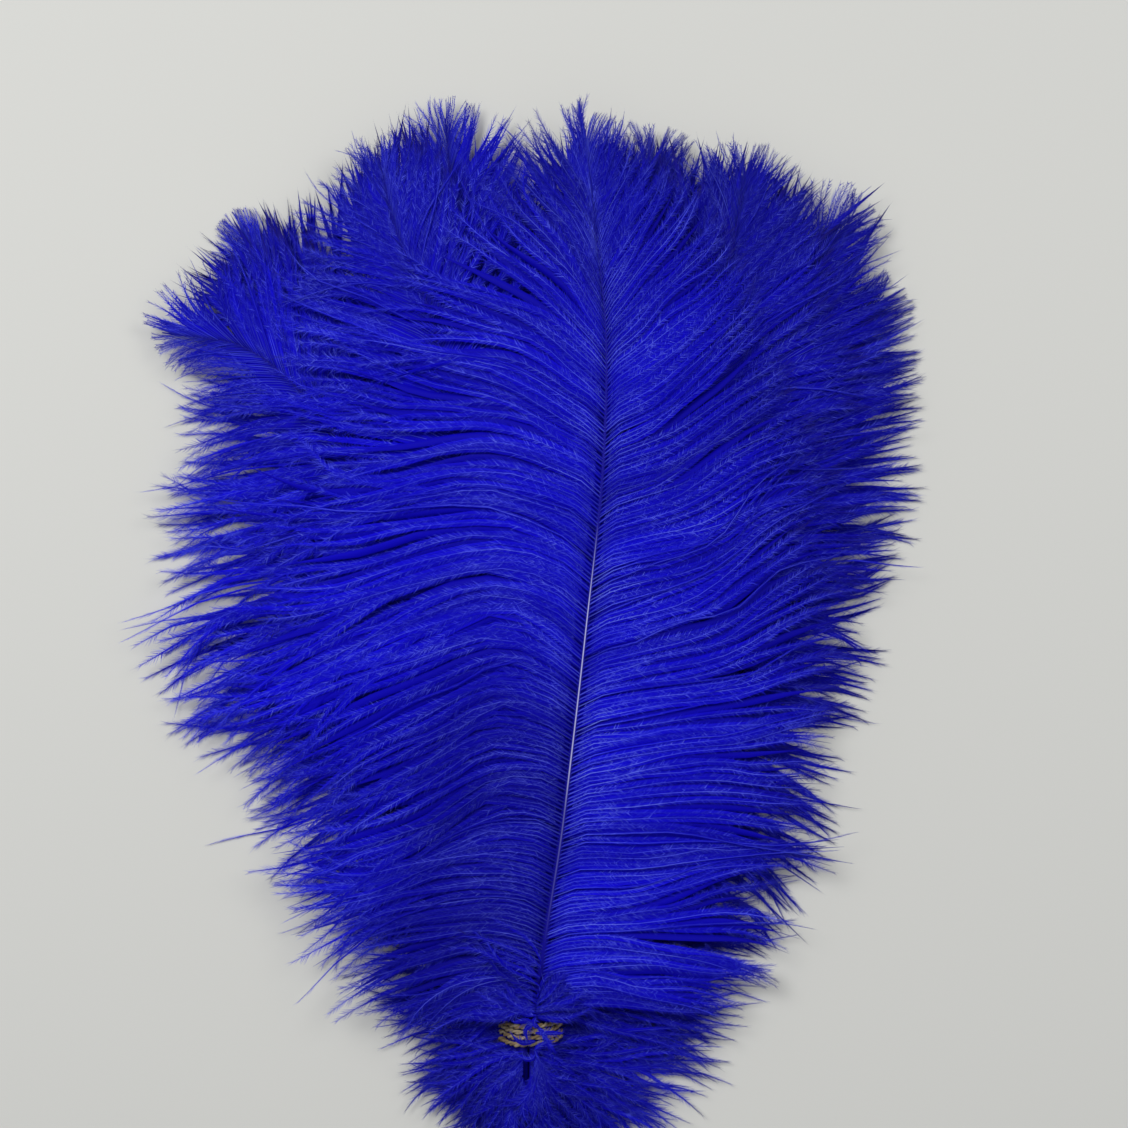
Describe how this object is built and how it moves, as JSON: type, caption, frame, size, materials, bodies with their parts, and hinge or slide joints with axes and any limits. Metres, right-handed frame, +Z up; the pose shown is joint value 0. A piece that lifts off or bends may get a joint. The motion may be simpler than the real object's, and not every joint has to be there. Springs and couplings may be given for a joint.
{
  "type": "ostrich feather bunch",
  "caption": "Fan of dyed ostrich plumes with drooping, frayed locks, tied round the quills with twine and lying flat.",
  "frame": {"origin": "middle of the bunch's footprint, on the surface that it lies on", "axes": "+Y from the cut ends of the quills to the tips, +X to the right as seen from above with the tips away, +Z up"},
  "size_m": [0.2566, 0.3602, 0.044],
  "materials": {
    "dyed_plume": "matt, with a soft sheen along the flues",
    "twine": "matt, dry fibre"
  },
  "bodies": {
    "root": {"front_plume": "dyed_plume", "inner_left_plume": "dyed_plume", "inner_right_plume": "dyed_plume", "right_plume": "dyed_plume", "left_plume": "dyed_plume", "top_right_plume": "dyed_plume", "top_left_plume": "dyed_plume", "bottom_right_plume": "dyed_plume", "bottom_left_plume": "dyed_plume", "twine_tie": "twine"}
  },
  "joints": []
}
